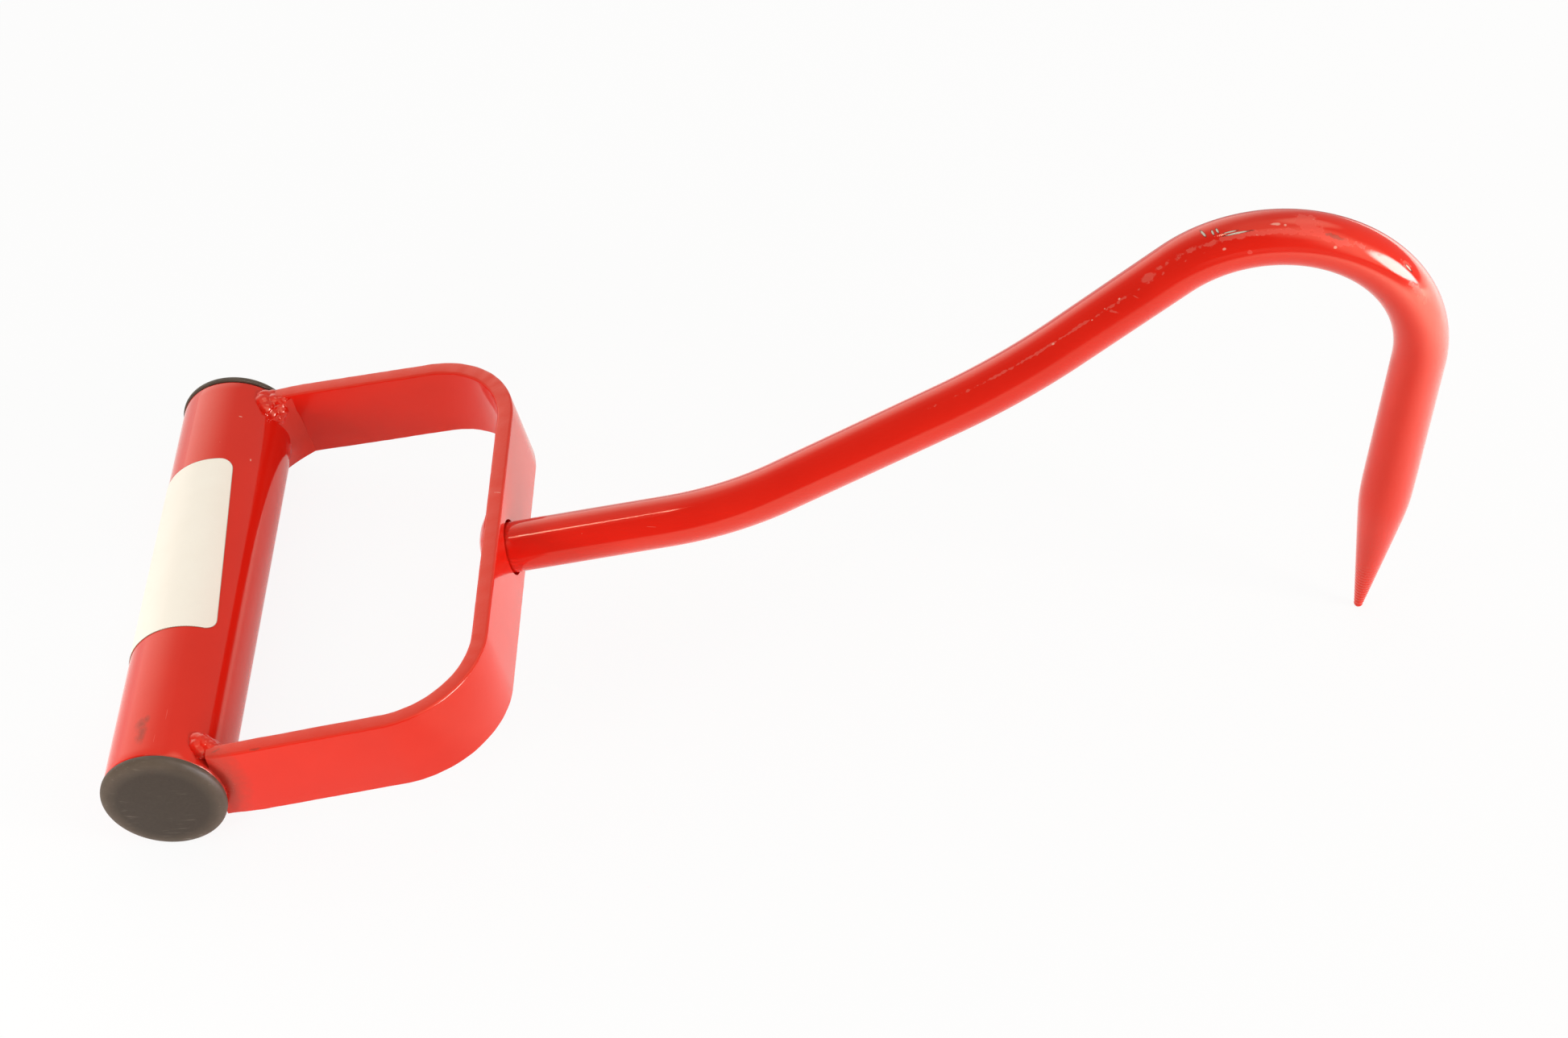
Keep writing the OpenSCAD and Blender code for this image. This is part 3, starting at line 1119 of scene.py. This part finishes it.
@dataclass
class Bow:
    """The bent flat bar that joins the grip's ends and carries the hook."""

    grip: Grip
    width: float = 18.0
    thickness: float = 3.6
    reach: float = 70.1
    corner_r: float = 22.0
    splay: float = 2.0
    inset: float = 0.4
    cope: float = 0.7
    drop: float = 0.3
    edge_r: float = 0.6
    hole_r: float = 6.05
    hole_sides: int = 96
    burr: float = 0.09
    burr_mm: float = 2.2
    burr_from: float = 1.5
    shear_from: float = 0.5
    under: float = 1.8
    under_run: float = 4.0
    set_in: float = 0.5
    set_in_run: float = 8.0
    sharp: float = 35.0
    leg_steps: int = 40
    bend_steps: int = 44
    cross_steps: int = 30

    @property
    def leg_y(self) -> float:
        """The leg's outer face at the grip."""
        return self.grip.length / 2 - self.inset

    @property
    def end_x(self) -> float:
        """Where each leg ends against the grip."""
        return self.grip.radius - self.cope

    @property
    def inside_x(self) -> float:
        """The cross-piece's inner face."""
        return self.reach - self.thickness

    @property
    def top(self) -> float:
        """The bar's upper edge."""
        return self.width / 2 - self.drop

    def corner(self) -> tuple[float, float]:
        """Finds the left corner.

        Returns:
            The centre of its bend.
        """
        splay = math.radians(self.splay)
        x = self.reach - self.corner_r
        rise = (x - self.grip.radius) * math.sin(splay)
        return x, self.leg_y - (self.corner_r + rise) / math.cos(splay)

    def centreline(self) -> list[Point]:
        """Follows the middle of the bar.

        Returns:
            Points from the left leg's end to the right leg's.
        """
        x, y = self.corner()
        cos, sin = math.cos(math.radians(self.splay)), math.sin(math.radians(self.splay))
        radius = self.corner_r - self.thickness / 2
        bend = arc((x, y), radius, 90 - self.splay, 0, self.bend_steps)
        (first_x, first_y), last_x = bend[0], bend[-1][0]
        run, count = (first_x - self.end_x) / cos, self.leg_steps
        left = [
            (first_x - cos * run * i / count, first_y + sin * run * i / count)
            for i in range(count, 0, -1)
        ]
        left += bend
        left += [(last_x, y * (1 - i / self.cross_steps)) for i in range(1, self.cross_steps)]
        whole = left + [(last_x, 0.0)] + [(px, -py) for px, py in reversed(left)]
        return [(px, py, -self.drop) for px, py in whole]

    def build(self, shop: Workshop) -> None:
        """Makes the bow.

        Args:
            shop: the workshop that finishes it.
        """
        points = self.centreline()
        bar = draft_path("bow_bar", points, [1.0] * len(points))
        FlatBar().run(bar, {
            "Width": self.width, "Thickness": self.thickness, "Edge radius": self.edge_r,
            "Material": shop.materials[Slot.PAINT],
        })
        self.fit_legs(bar)
        lie, stand = Matrix.Rotation(QUARTER, 4, "X"), Matrix.Rotation(QUARTER, 4, "Y")
        ahead = Matrix.Translation((self.reach, 0, 0)) @ stand
        grip, cutters = self.grip, []
        for name, radius, depth, sides, place in (
            ("tube_cut", grip.radius, 2 * grip.length, grip.tube_sides, lie),
            ("hole_cut", self.hole_r, 4 * self.thickness, self.hole_sides, ahead),
        ):
            rod = bmesh.new()
            bmesh.ops.create_cone(rod, cap_ends=True, segments=sides, radius1=radius,
                                  radius2=radius, depth=depth, matrix=place)
            cutters.append(draft(name, rod))
        carve(bar, cutters)
        sheared = bar.data.attributes.new("sheared", "FLOAT", "POINT")
        for vertex in bar.data.vertices:
            off = abs(vertex.co.z + self.drop)
            if off > self.width / 2 - self.burr_from * self.edge_r:
                vertex.co.z += self.burr * noise.noise(vertex.co / self.burr_mm)
            if off > self.width / 2 - self.shear_from * self.edge_r:
                sheared.data[vertex.index].value = 1.0
        shop.finish(bar, Slot.PAINT, "bow", sharp=self.sharp)

    def fit_legs(self, bar: Piece) -> None:
        """Runs the legs' ends under the grip and sets them in behind the plugs.

        Args:
            bar: the bent bar.
        """
        for vertex in bar.data.vertices:
            low = min(1.0, max(0.0, (self.top - vertex.co.z) / self.width))
            near = max(0.0, 1 - (vertex.co.x - self.end_x) / self.under_run)
            vertex.co.x -= self.under * low * near
            outside = abs(vertex.co.y) > self.leg_y - self.thickness / 2
            if outside and vertex.co.x < self.end_x + self.set_in_run:
                share = min(1.0, 1 - (vertex.co.x - self.end_x) / self.set_in_run)
                vertex.co.y -= math.copysign(self.set_in * share * share, vertex.co.y)

    def marks(self) -> list[Mark]:
        """A scratch on the cross-piece's upper edge, grime by the right weld, and painted shade on
        the right leg's outer face beside the plug.

        Returns:
            The marks.
        """
        up, front, top = (0.0, 0.0, 1.0), (0.0, -1.0, 0.0), self.top
        return [Mark(wear, Chart.TOOL, *where) for wear, *where in (
            # Painted shade: a dark band on the right leg's outer face, in the corner beside the
            # plug's rim.
            (Wear.SMUDGE, (13.0, -self.leg_y, 2.5), up, front, (6.5, 3.2), 0.25, 0.9, 2.0),
            (Wear.DAB, (68.7, 8.3, top), (1.0, -0.3, 0.0), up, (0.8, 0.07)),
            (Wear.SMUDGE, (14.2, -54.0, top), (1.0, 0.4, 0.0), up, (0.9, 0.3), 0.9, 0.5),
            (Wear.SMUDGE, (22.6, -55.2, top), (1.0, 0.0, 0.0), up, (1.2, 0.2), 0.9, 0.5),
        )]


@dataclass
class Hook:
    """The round bar: shank, two gentle bends, the crook and the point."""

    bow: Bow
    radius: float = 5.5
    root_out: float = 1.5
    shank_len: float = 34.3
    rise_r: float = 78.0
    rise_turn: float = 19.5
    rise_len: float = 40.2
    sweep_r: float = 165.0
    sweep_turn: float = 10.4
    sweep_len: float = 27.9
    crook_r: float = 29.8
    crook_turn: float = 136.4
    drop_len: float = 39.0
    point_len: float = 31.4
    tip_r: float = 1.0
    tip_turns: tuple[int, ...] = (20, 40, 58, 74, 86)
    shave: float = 0.04
    shoulder_r: float = 0.25
    ground_len: float = 14.0
    ring_pitch: float = 0.9
    ring_depth: float = 0.09
    ring_steps: int = 5
    sides: int = 96
    chip_soft: float = 0.5
    mark_soft: float = 0.2
    # Each mark: how far along the bar, how far round from its top in degrees, its half
    # length and half width, its lean in degrees, and how ragged its outline is.
    wear: tuple[tuple[Wear, tuple[tuple[float, ...], ...]], ...] = (
        (Wear.SCUFF, (
            (183.5, 39.0, 15.0, 0.5, 1.5, 1.0), (189.4, 14.0, 2.2, 1.5, 0.0, 0.6),
            (190.5, 31.0, 2.2, 0.9, 8.0, 0.8), (195.2, 47.0, 2.6, 0.7, 6.0, 0.8),
            (214.0, 54.0, 2.4, 0.6, 0.0, 1.3), (208.8, 28.5, 1.3, 0.6, 0.0, 0.7),
            (160.2, 37.0, 1.5, 0.75, 8.0, 0.5), (137.0, 41.0, 19.0, 0.24, 1.4, 1.2),
            (156.0, 57.0, 0.7, 0.12, 60.0, 0.4), (150.5, 58.0, 0.8, 0.25, 50.0, 0.9),
            (179.4, 75.0, 0.4, 0.35, 0.0, 0.7), (37.3, 23.0, 0.8, 0.06, 30.0, 0.3),
            (36.9, 53.0, 1.1, 0.06, 12.0, 0.3),
        )),
        (Wear.CHIP, (
            (172.4, 9.0, 0.85, 0.2, 70.0, 0.3), (174.0, 15.0, 0.65, 0.17, 80.0, 0.3),
            (174.8, 14.0, 0.6, 0.17, 75.0, 0.3), (176.9, 25.0, 1.0, 0.14, 2.0, 0.2),
            (178.0, 31.0, 1.9, 0.17, 1.0, 0.25), (209.6, 32.5, 0.8, 0.2, 10.0, 0.3),
        )),
        (Wear.DAB, (
            (184.2, 23.0, 0.7, 0.25, 0.0, 0.6), (185.9, 26.0, 0.22, 0.2, 0.0, 0.4),
            (175.2, 56.0, 0.25, 0.2, 0.0, 0.5), (194.9, 61.0, 0.25, 0.22, 0.0, 0.5),
            (152.8, 41.0, 0.22, 0.18, 0.0, 0.5), (149.1, 41.0, 0.2, 0.16, 0.0, 0.5),
            (145.6, 46.0, 0.22, 0.18, 0.0, 0.5), (135.8, 42.0, 0.3, 0.2, 0.0, 0.6),
        )),
        (Wear.SMUDGE, (
            (194.5, 40.0, 1.6, 0.4, 5.0, 0.8), (211.3, 127.0, 0.25, 0.2, 0.0, 0.3),
        )),
    )

    def stretches(self) -> list[tuple[float, float]]:
        """The bar's straight and bent stretches.

        Returns:
            Each stretch's length or bend radius, and its turn in degrees.
        """
        return [
            (self.root_out + self.bow.thickness + self.shank_len, 0.0),
            (self.rise_r, self.rise_turn),
            (self.rise_len, 0.0),
            (self.sweep_r, self.sweep_turn),
            (self.sweep_len, 0.0),
            (self.crook_r, -self.crook_turn),
            (self.drop_len + self.point_len, 0.0),
        ]

    def centreline(self, step: float = 1.0) -> list[Point]:
        """Walks along the bar.

        Args:
            step: the largest distance between two points.

        Returns:
            X, Z and the distance walked, at each point.
        """
        x, z, heading, walked = self.bow.inside_x - self.root_out, 0.0, 0.0, 0.0
        points = [(x, z, 0.0)]
        for size, turn in self.stretches():
            length = size * math.radians(abs(turn)) if turn else size
            count = math.ceil(length / step)
            for _ in range(count):
                half = math.radians(turn) / count / 2
                chord = 2 * size * math.sin(abs(half)) if turn else length / count
                heading += half
                x += chord * math.cos(heading)
                z += chord * math.sin(heading)
                heading += half
                walked += length / count
                points.append((x, z, walked))
        return points

    def rest_pose(self) -> RestPose:
        """Works out how the tool lies on its plugs and point.

        Returns:
            The pose, with the tool's length centred.
        """
        plug_r = self.bow.grip.plug_r
        x, z, _ = self.centreline()[-1]
        tilt = math.asin((self.tip_r - plug_r) / math.hypot(x, z)) - math.atan2(z, x)
        cos, sin = math.cos(tilt), math.sin(tilt)
        front = max(px * cos - pz * sin for px, pz, _ in self.centreline(0.2)) + self.radius
        return RestPose(tilt, (front - plug_r) / 2, plug_r)

    def thickness(self, walked: float, total: float) -> float:
        """The bar's radius at a distance along it.

        Args:
            walked: the distance from the root.
            total: the bar's whole length.

        Returns:
            The radius.
        """
        left = total - walked
        full = self.radius - self.shave
        taper = self.tip_r + (full - self.tip_r) * left / self.point_len
        round_off = math.exp(-abs(full - taper) / self.shoulder_r)
        ground = max(0.0, 1 - left / self.ground_len)
        ring = self.ring_depth * (0.5 - 0.5 * math.cos(2 * math.pi * left / self.ring_pitch))
        return min(full, taper) - self.shoulder_r * math.log1p(round_off) - ring * ground ** 0.5

    def build(self, shop: Workshop) -> None:
        """Makes the hook.

        Args:
            shop: the workshop that finishes it.
        """
        coarse, fine = self.centreline(), self.centreline(self.ring_pitch / self.ring_steps)
        total = coarse[-1][2]
        ground_from = total - self.ground_len
        line = [spot for spot in coarse if spot[2] < ground_from]
        line += [spot for spot in fine if spot[2] >= ground_from]
        points: list[Point] = [(x, 0.0, z) for x, z, _ in line]
        radii = [self.thickness(walked, total) for _, _, walked in line]
        end = Vector(points[-1])
        ahead = (end - Vector(points[-2])).normalized()
        for turn in self.tip_turns:
            a = math.radians(turn)
            points.append(tuple(end + ahead * self.tip_r * math.sin(a)))
            radii.append(self.tip_r * math.cos(a))
        bar = draft_path("hook_bar", points, radii)
        RoundBar().run(bar, {"Sides": self.sides, "Material": shop.materials[Slot.PAINT]})
        self.straighten(bar, points)
        shop.finish(bar, Slot.PAINT, "hook")

    def straighten(self, bar: Piece, points: Sequence[Point]) -> None:
        """Stores where each point was before the bar was bent.

        Args:
            bar: the bar, ring by ring along its path.
            points: the path.
        """
        place = bar.data.attributes.new("bar_place", "FLOAT_VECTOR", "POINT")
        spots = [Vector(p) for p in points]
        last = len(spots) - 1
        walked = [0.0]
        for low, high in zip(spots, spots[1:]):
            walked.append(walked[-1] + (high - low).length)
        for vertex in bar.data.vertices:
            ring = min(vertex.index // self.sides, last)
            ahead = (spots[min(ring + 1, last)] - spots[max(ring - 1, 0)]).normalized()
            up = Vector((-ahead.z, 0.0, ahead.x))
            off = vertex.co - spots[ring]
            spot = (walked[ring] + off.dot(ahead), -off.y, off.dot(up))
            place.data[vertex.index].vector = spot

    def marks(self) -> list[Mark]:
        """The marks of use on the bar.

        Returns:
            The marks.
        """
        found = []
        for wear, rows in self.wear:
            soft = self.chip_soft if wear is Wear.CHIP else self.mark_soft
            for along, around, length, width, lean, ragged in rows:
                turn, slant = math.radians(around), math.radians(lean)
                out = Vector((0.0, math.sin(turn), math.cos(turn)))
                side = Vector((0.0, math.cos(turn), -math.sin(turn)))
                ahead = Vector((1.0, 0.0, 0.0)) * math.cos(slant) + side * math.sin(slant)
                at = Vector((along, 0.0, 0.0)) + out * self.radius
                ways = tuple(at), tuple(ahead), tuple(out)
                found.append(Mark(wear, Chart.BAR, *ways, (length, width), ragged, soft))
        return found


@dataclass
class Welds:
    """The weld metal that holds the bow on the grip and the hook in the bow."""

    grip: Grip
    bow: Bow
    toe: float = 3.2
    slope: float = 45.0
    drop: float = 0.5
    lift: float = 0.4
    short: float = 0.9
    sink: float = 0.25
    spare: float = 0.9
    waver: float = 0.25
    waver_rate: float = 0.35
    waver_row: float = 1.3
    dish: float = 0.3
    lean: float = 0.7
    behind: float = 0.6
    foot_power: int = 6
    fillet_steps: tuple[int, int] = (48, 12)
    # Each drop: its middle and its radius.
    left_drops: tuple[Four, ...] = (
        (9.2, 53.5, 7.9, 2.2), (9.1, 51.9, 7.9, 2.3), (9.8, 50.5, 7.3, 2.2),
        (10.8, 50.0, 6.0, 2.0), (11.7, 50.2, 4.5, 1.8), (11.3, 52.6, 7.0, 2.1),
        (12.8, 52.2, 6.6, 1.9), (12.6, 51.0, 5.6, 1.8), (10.9, 54.5, 7.3, 1.6),
        (13.8, 52.4, 7.2, 1.4),
    )
    right_drops: tuple[Four, ...] = (
        (9.3, -49.9, 7.8, 2.2), (10.1, -50.5, 7.6, 2.3), (11.1, -51.2, 7.4, 2.2),
        (12.1, -51.9, 7.2, 2.0), (13.2, -52.5, 7.2, 1.6), (9.5, -51.5, 7.9, 2.0),
        (10.4, -52.6, 7.5, 1.7), (11.6, -50.2, 6.0, 1.9), (12.8, -51.2, 5.6, 1.7),
    )
    wrinkle: float = 0.16
    wrinkle_mm: float = 2.2
    voxel: float = 0.16
    root_r: float = 8.5
    root_h: float = 3.0
    root_foot: float = 0.4
    root_steps: int = 24
    root_sides: int = 72
    ripple: float = 0.12
    ripple_rate: float = 0.5

    def build(self, shop: Workshop) -> None:
        """Makes every weld.

        Args:
            shop: the workshop that finishes them.
        """
        bead = WeldBead()
        paint = shop.materials[Slot.PAINT]
        for side, drops in ((Side.LEFT, self.left_drops), (Side.RIGHT, self.right_drops)):
            fillet = draft(f"{side.word}_fillet", side.mirror(self.fillet()))
            shop.finish(fillet, Slot.PAINT, f"{side.word}_fillet_weld")
            middles, radii = [d[:3] for d in drops], [d[3] for d in drops]
            lump = draft_path(f"{side.word}_tack", middles, radii)
            bead.run(lump, {"Voxel": self.voxel, "Material": paint})
            for vertex in lump.data.vertices:
                swell = noise.noise(vertex.co / self.wrinkle_mm)
                vertex.co += vertex.normal * self.wrinkle * swell
            shop.finish(lump, Slot.PAINT, f"{side.word}_tack_weld")
        shop.finish(draft("root_bead", self.root()), Slot.PAINT, "root_weld")

    def fillet(self) -> Shape:
        """The band of weld between the left leg's inner face and the grip.

        Returns:
            The band, with a dished face that sinks at its foot.
        """
        shape = bmesh.new()
        bow, splay = self.bow, math.radians(self.bow.splay)
        toe_x = self.grip.radius + self.toe
        toe_y = bow.leg_y - bow.thickness / math.cos(splay) - self.toe * math.tan(splay)
        bottom, high = -bow.width / 2 - bow.drop, bow.top - self.short
        slope = math.tan(math.radians(self.slope))
        rows, columns = self.fillet_steps
        loops = []
        for i in range(rows + 1):
            rise = i / rows
            z = bottom + (high - bottom) * rise
            reach_x = math.sqrt(max(0.0, self.grip.radius ** 2 - z * z)) - self.sink
            length = min(toe_x - reach_x, self.toe + self.spare)
            spot = Vector((z * self.waver_rate, self.waver_row, 0.0))
            waver = self.waver * noise.noise(spot)
            loop = []
            for j in range(columns + 1):
                share = j / columns
                sag = self.dish * math.sin(math.pi * share) - waver * (1 - share)
                x = toe_x - (toe_x - reach_x) * share - sag * self.lean
                y = toe_y - length * share * slope + sag * self.lean
                foot = self.lift * (1 - share) - self.drop * share
                foot *= (1 - rise) ** self.foot_power
                loop.append(shape.verts.new((x, y, z + foot)))
            loop.append(shape.verts.new((reach_x, toe_y + self.behind, z)))
            loops.append(loop)
        skin(shape, loops, closed=False)
        skin(shape, [[loop[0] for loop in loops], [loop[-1] for loop in loops]], closed=False)
        shape.faces.new(loops[0])
        shape.faces.new(loops[-1])
        bmesh.ops.recalc_face_normals(shape, faces=shape.faces)
        return shape

    def root(self) -> Shape:
        """The dome of weld around the bar's root, inside the bow.

        Returns:
            The dome.
        """
        dome_r = (self.root_r ** 2 + self.root_h ** 2) / (2 * self.root_h)
        spread = math.degrees(math.asin(self.root_r / dome_r))
        dome = arc((0, self.root_h - dome_r), dome_r, 90, 90 - spread, self.root_steps)
        foot = [(self.root_r, -self.root_foot), (0, -self.root_foot)]
        shape = lathe([(0, self.root_h), *dome[1:], *foot], self.root_sides)
        for vertex in shape.verts:
            if vertex.co.y > 0:
                vertex.co.y += self.ripple * noise.noise(vertex.co * self.ripple_rate)
        turn = Matrix.Rotation(QUARTER, 4, "Z")
        place = Matrix.Translation((self.bow.inside_x, 0, 0)) @ turn
        bmesh.ops.transform(shape, matrix=place, verts=shape.verts)
        return shape


@dataclass(frozen=True)
class Glow:
    """A bright patch of the room that the gloss mirrors, by its direction.

    Its level adds to the wall's, where 1 is white paper in the studio. It is full
    within its inner angle and gone past its outer one, both in degrees.
    """

    name: str
    azimuth: float
    elevation: float
    inner: float
    outer: float
    level: float
    tint: str = WARM_WHITE


@dataclass(frozen=True)
class Lamp:
    """A square soft box for matt light.

    Its direction from the spot it lights is in degrees, its size and distance in metres.
    """

    name: str
    azimuth: float
    elevation: float
    size: float
    level: float
    distance: float
    aim: Point

    def hang(self) -> None:
        """Hangs the lamp where neither the camera nor the gloss sees it."""
        data = bpy.data.lights.new(self.name, "AREA")
        data.shape = "SQUARE"
        data.size = self.size
        data.energy = self.level * math.pi * self.size ** 2
        data.color = linear(WARM_WHITE)[:3]
        obj = add_object(self.name, data)
        way = toward(self.azimuth, self.elevation)
        obj.location = way * self.distance + Vector(self.aim)
        obj.rotation_euler = way.to_track_quat("Z", "Y").to_euler()
        obj.visible_camera = False
        obj.visible_glossy = False
        log.info("%s: level %.1f", self.name, self.level)


@dataclass(frozen=True)
class Room:
    """The room's soft light.

    The gloss mirrors pale walls with brighter patches and a dim side to the left
    of the camera. Matt surfaces get an even light that leans a little to one side.
    """

    # Each stop on the walls: its azimuth in degrees and its level, the two ends first.
    walls: tuple[tuple[float, float], ...] = (
        (-180, 0.10), (180, 0.10), (-125, 0.10), (-90, 0.16), (-72, 0.35), (-55, 0.65),
        (-38, 0.9), (-10, 0.9), (5, 0.75), (60, 0.7), (100, 0.8), (125, 1.2), (152, 1.1),
        (168, 0.3),
    )
    ceiling: float = 1.2
    ceiling_from: tuple[float, float] = (58.0, 75.0)
    glows: tuple[Glow, ...] = (
        Glow("right_window", 118.0, 6.0, 14.0, 21.0, 30.0, "#DCE8FF"),
        Glow("window_surround", 128.0, 14.0, 14.0, 34.0, 1.8),
        Glow("high_right_glow", 140.0, 50.0, 8.0, 30.0, 1.4),
        Glow("back_left_window", -26.0, 8.0, 2.0, 42.0, 1.4),
        Glow("right_strip", 50.0, 62.0, 6.0, 20.0, 2.2),
        Glow("front_ceiling_glow", 180.0, 64.0, 5.0, 16.0, 1.2),
        Glow("high_left_lamp", -94.0, 63.4, 0.8, 1.6, 25.0),
        Glow("high_left_lamp_end", -94.0, 65.4, 0.8, 1.6, 25.0),
    )
    soft: float = 0.76
    soft_lean: tuple[float, float] = (-0.3, 0.12)

    def build(self) -> None:
        """Makes the world, which is white to the camera."""
        world = bpy.data.worlds.new("room")
        bpy.context.scene.world = world
        world.use_nodes = True
        tree = world.node_tree
        tree.nodes.clear()
        node = partial(add_node, tree)
        view = node("TexCoord", out="Generated")
        aside = {0: view, 1: (*self.soft_lean, 0.0)}
        lean = node("VectorMath", aside, "Value", operation="DOT_PRODUCT")
        even = {0: linear(WARM_WHITE)[:3], "Scale": node("Math", {0: lean, 1: self.soft})}
        seen = node("VectorMath", even, operation="SCALE")
        path = node("LightPath").node.outputs
        for ray, light in (
            ("Is Glossy Ray", self.mirrored(tree, view)),
            ("Is Transmission Ray", WHITE),
            ("Is Camera Ray", WHITE),
        ):
            lights = {"Factor": path[ray], 6: seen, 7: light}
            seen = node("Mix", lights, 2, data_type="RGBA")
        back = node("Background", {"Color": seen, "Strength": 1.0})
        node("OutputWorld", {"Surface": back})

    def mirrored(self, tree: Tree, view: Socket) -> Socket:
        """Draws the room as the gloss mirrors it.

        Args:
            tree: the world's tree.
            view: the direction looked in.

        Returns:
            The room's colour there.
        """
        node = partial(add_node, tree)
        warm = linear(WARM_WHITE)[:3]
        axes = node("SeparateXYZ", {"Vector": view}).node.outputs
        turn = node("Math", {0: axes["X"], 1: axes["Y"]}, operation="ARCTAN2")
        share = node("MapRange", {"Value": turn, "From Min": -math.pi, "From Max": math.pi})
        walls = node("ValToRGB", {"Fac": share})
        ramp = walls.node.color_ramp
        ramp.interpolation = "EASE"
        for number, (azimuth, level) in enumerate(self.walls):
            at = azimuth / 360 + 0.5
            stop = ramp.elements[number] if number < 2 else ramp.elements.new(at)
            stop.position = at
            stop.color = (*(level * part for part in warm), 1.0)
        low, high = (math.sin(math.radians(angle)) for angle in self.ceiling_from)
        above = node("MapRange", {
            "Value": axes["Z"], "From Min": low, "From Max": high,
        }, interpolation_type="SMOOTHSTEP")
        overhead = (*(self.ceiling * part for part in warm), 1.0)
        room = node("Mix", {"Factor": above, 6: walls, 7: overhead}, 2, data_type="RGBA")
        for glow in self.glows:
            ways = {0: view, 1: toward(glow.azimuth, glow.elevation)}
            patch = node("MapRange", {
                "Value": node("VectorMath", ways, "Value", operation="DOT_PRODUCT"),
                "From Min": math.cos(math.radians(glow.outer)),
                "From Max": math.cos(math.radians(glow.inner)), "To Max": glow.level,
            }, interpolation_type="SMOOTHSTEP")
            tinted = {0: linear(glow.tint)[:3], "Scale": patch}
            light = node("VectorMath", tinted, operation="SCALE")
            room = node("VectorMath", {0: room, 1: light}, operation="ADD")
            log.info("%s: level %.1f in the room's reflections", glow.name, glow.level)
        return room


@dataclass
class Studio:
    """The camera, the floor, the room and the lamps."""

    eye: Point = (0.03845, -0.47469, 0.49970)
    right: Point = (0.998048, 0.016056, -0.060356)
    down: Point = (-0.031660, -0.702960, -0.710525)
    ahead: Point = (-0.053835, 0.711048, -0.701080)
    focal_px: float = 3927.07
    frame_px: float = 1946
    sensor_mm: float = 36.0
    clip: tuple[float, float] = (0.01, 50.0)
    floor_size: float = 6.0
    lamps: tuple[Lamp, ...] = (
        Lamp("key_soft_box", 112.0, 13.0, 0.34, 17.0, 1.0, (0.0, 0.0, 0.03)),
        Lamp("left_lamp", -138.0, 12.0, 0.07, 22.0, 0.3, (-0.1, 0.0, 0.02)),
    )

    def build(self) -> None:
        """Makes the whole studio."""
        bpy.context.scene.view_settings.view_transform = "Standard"
        self.camera()
        self.floor()
        Room().build()
        for lamp in self.lamps:
            lamp.hang()

    def camera(self) -> None:
        """Sets the camera where the photograph was taken."""
        data = bpy.data.cameras.new("camera")
        data.sensor_fit = "HORIZONTAL"
        data.sensor_width = self.sensor_mm
        data.lens = self.focal_px * self.sensor_mm / self.frame_px
        data.clip_start, data.clip_end = self.clip
        cam = add_object("camera", data)
        axes = Matrix((self.right, [-d for d in self.down], [-a for a in self.ahead]))
        cam.matrix_world = Matrix.Translation(self.eye) @ axes.transposed().to_4x4()
        bpy.context.scene.camera = cam

    def floor(self) -> None:
        """Lays the pale floor."""
        shape = bmesh.new()
        bmesh.ops.create_grid(shape, x_segments=1, y_segments=1, size=self.floor_size / 2)
        obj = draft("floor", shape)
        obj.data.materials.append(FloorPaper().make())


def main() -> None:
    """Builds every piece and the studio."""
    logging.basicConfig(level=logging.INFO, format="%(name)s %(message)s")
    grip = Grip()
    bow = Bow(grip)
    hook = Hook(bow)
    pose = hook.rest_pose()
    log.info("tilt %.3f degrees, middle at %.3f mm", math.degrees(pose.tilt), pose.middle_x)
    shop = Workshop(pose, grip.marks() + bow.marks() + hook.marks())
    for assembly in (grip, bow, hook, Welds(grip, bow)):
        assembly.build(shop)
    Studio().build()


if __name__ == "__main__":
    main()
